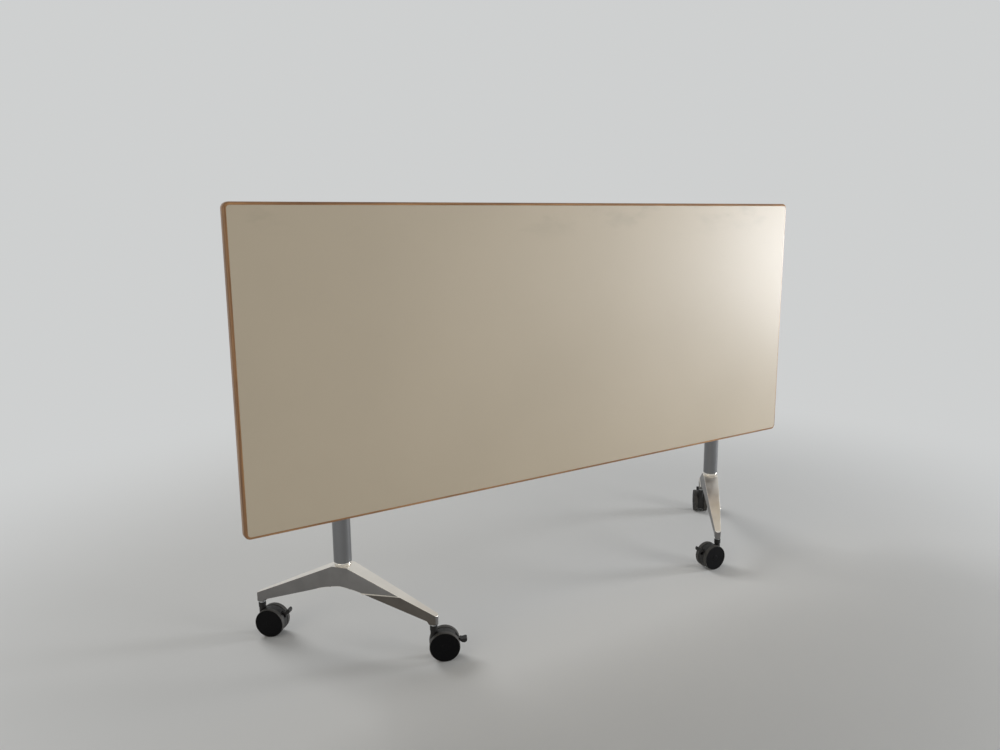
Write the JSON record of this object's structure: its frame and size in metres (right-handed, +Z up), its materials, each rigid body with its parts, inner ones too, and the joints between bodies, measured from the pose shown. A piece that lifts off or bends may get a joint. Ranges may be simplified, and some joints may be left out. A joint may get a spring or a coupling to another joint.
{
  "type": "flip top training table",
  "caption": "Mobile training table whose laminate top tips from flat to vertical on a two-column frame with skewed cast feet and braked twin-wheel castors.",
  "frame": {"origin": "on the floor under the middle of the outline, with the top tipped up", "axes": "+X along the table, -Y the way the tipped work face looks, +Z up"},
  "size_m": [1.8, 0.4758, 1.1],
  "materials": {
    "laminate": "fine matt pressure laminate",
    "backing": "plain matt backing sheet",
    "board": "raw particle board",
    "lipping": "lacquered wooden edge",
    "polished_aluminium": "polished casting",
    "column_paint": "satin silver powder coat",
    "black_steel": "satin black powder coat",
    "zinc": "bright zinc plate",
    "black_plastic": "moulded black nylon",
    "tread": "moulded black wheel",
    "rubber": "soft black rubber",
    "nylon": "natural nylon"
  },
  "bodies": {
    "frame": {"left_foot": "polished_aluminium", "right_foot": "polished_aluminium", "left_column": "column_paint", "right_column": "column_paint", "left_seat_ring": "polished_aluminium", "right_seat_ring": "polished_aluminium", "left_foot_bolt": "zinc", "right_foot_bolt": "zinc", "left_head": "polished_aluminium", "right_head": "polished_aluminium", "left_rest_pad": "rubber", "right_rest_pad": "rubber", "left_tube_cap": "black_plastic", "right_tube_cap": "black_plastic", "left_latch_disc": "zinc", "right_latch_disc": "zinc", "cross_tube": "column_paint", "left_front_castor_stem": "zinc", "left_rear_castor_stem": "zinc", "right_front_castor_stem": "zinc", "right_rear_castor_stem": "zinc"},
    "top": {"edge_lipping": "lipping", "back_laminate": "backing", "top_core": "board", "face_laminate": "laminate", "rod_guide": "nylon", "left_bracket": "black_steel", "right_bracket": "black_steel", "left_inner_bush": "nylon", "right_inner_bush": "nylon", "left_outer_bush": "nylon", "right_outer_bush": "nylon", "left_stop_pad": "rubber", "right_stop_pad": "rubber"},
    "release_bar": {"latch_rod": "zinc", "release_paddle": "black_plastic", "left_latch_pawl": "zinc", "right_latch_pawl": "zinc", "left_latch_spring": "zinc", "right_latch_spring": "zinc"},
    "left_front_castor": {"left_front_castor_hood": "black_plastic", "left_front_castor_axle": "zinc"},
    "left_front_outer_wheel": {"left_front_outer_wheel": "tread"},
    "left_front_inner_wheel": {"left_front_inner_wheel": "tread"},
    "left_front_brake": {"left_front_brake_lever": "black_plastic"},
    "left_rear_castor": {"left_rear_castor_hood": "black_plastic", "left_rear_castor_axle": "zinc"},
    "left_rear_outer_wheel": {"left_rear_outer_wheel": "tread"},
    "left_rear_inner_wheel": {"left_rear_inner_wheel": "tread"},
    "left_rear_brake": {"left_rear_brake_lever": "black_plastic"},
    "right_front_castor": {"right_front_castor_hood": "black_plastic", "right_front_castor_axle": "zinc"},
    "right_front_outer_wheel": {"right_front_outer_wheel": "tread"},
    "right_front_inner_wheel": {"right_front_inner_wheel": "tread"},
    "right_front_brake": {"right_front_brake_lever": "black_plastic"},
    "right_rear_castor": {"right_rear_castor_hood": "black_plastic", "right_rear_castor_axle": "zinc"},
    "right_rear_outer_wheel": {"right_rear_outer_wheel": "tread"},
    "right_rear_inner_wheel": {"right_rear_inner_wheel": "tread"},
    "right_rear_brake": {"right_rear_brake_lever": "black_plastic"}
  },
  "joints": [
    {"name": "top_flip", "type": "hinge", "parent": "frame", "child": "top", "pos_m": [0, -0.00805, 0.687], "axis": [1, 0, 0], "range_deg": [-90, 0]},
    {"name": "release", "type": "hinge", "parent": "top", "child": "release_bar", "pos_m": [0, -0.02605, 0.713], "axis": [1, 0, 0], "range_deg": [-22, 0]},
    {"name": "left_front_swivel", "type": "hinge", "parent": "frame", "child": "left_front_castor", "pos_m": [-0.49543, -0.18903, 0.086], "axis": [0, 0, 1], "continuous": true},
    {"name": "left_front_outer_roll", "type": "hinge", "parent": "left_front_castor", "child": "left_front_outer_wheel", "pos_m": [-0.47239, -0.20108, 0.0375], "axis": [0.4633, 0.8862, 0], "continuous": true},
    {"name": "left_front_inner_roll", "type": "hinge", "parent": "left_front_castor", "child": "left_front_inner_wheel", "pos_m": [-0.47239, -0.20108, 0.0375], "axis": [0.4633, 0.8862, 0], "continuous": true},
    {"name": "left_front_brake", "type": "hinge", "parent": "left_front_castor", "child": "left_front_brake", "pos_m": [-0.45644, -0.20941, 0.0535], "axis": [0.4633, 0.8862, 0], "range_deg": [-38, 0]},
    {"name": "left_rear_swivel", "type": "hinge", "parent": "frame", "child": "left_rear_castor", "pos_m": [-0.80457, 0.17292, 0.086], "axis": [0, 0, 1], "continuous": true},
    {"name": "left_rear_outer_roll", "type": "hinge", "parent": "left_rear_castor", "child": "left_rear_outer_wheel", "pos_m": [-0.7854, 0.15536, 0.0375], "axis": [0.6756, 0.7373, 0], "continuous": true},
    {"name": "left_rear_inner_roll", "type": "hinge", "parent": "left_rear_castor", "child": "left_rear_inner_wheel", "pos_m": [-0.7854, 0.15536, 0.0375], "axis": [0.6756, 0.7373, 0], "continuous": true},
    {"name": "left_rear_brake", "type": "hinge", "parent": "left_rear_castor", "child": "left_rear_brake", "pos_m": [-0.77213, 0.1432, 0.0535], "axis": [0.6756, 0.7373, 0], "range_deg": [0, 38]},
    {"name": "right_front_swivel", "type": "hinge", "parent": "frame", "child": "right_front_castor", "pos_m": [0.49543, -0.18903, 0.086], "axis": [0, 0, 1], "continuous": true},
    {"name": "right_front_outer_roll", "type": "hinge", "parent": "right_front_castor", "child": "right_front_outer_wheel", "pos_m": [0.46957, -0.18631, 0.0375], "axis": [-0.1045, -0.9945, 0], "continuous": true},
    {"name": "right_front_inner_roll", "type": "hinge", "parent": "right_front_castor", "child": "right_front_inner_wheel", "pos_m": [0.46957, -0.18631, 0.0375], "axis": [-0.1045, -0.9945, 0], "continuous": true},
    {"name": "right_front_brake", "type": "hinge", "parent": "right_front_castor", "child": "right_front_brake", "pos_m": [0.45167, -0.18443, 0.0535], "axis": [-0.1045, -0.9945, 0], "range_deg": [0, 38]},
    {"name": "right_rear_swivel", "type": "hinge", "parent": "frame", "child": "right_rear_castor", "pos_m": [0.80457, 0.17292, 0.086], "axis": [0, 0, 1], "continuous": true},
    {"name": "right_rear_outer_roll", "type": "hinge", "parent": "right_rear_castor", "child": "right_rear_outer_wheel", "pos_m": [0.82163, 0.19254, 0.0375], "axis": [-0.7547, 0.6561, 0], "continuous": true},
    {"name": "right_rear_inner_roll", "type": "hinge", "parent": "right_rear_castor", "child": "right_rear_inner_wheel", "pos_m": [0.82163, 0.19254, 0.0375], "axis": [-0.7547, 0.6561, 0], "continuous": true},
    {"name": "right_rear_brake", "type": "hinge", "parent": "right_rear_castor", "child": "right_rear_brake", "pos_m": [0.83344, 0.20613, 0.0535], "axis": [-0.7547, 0.6561, 0], "range_deg": [0, 38]}
  ]
}
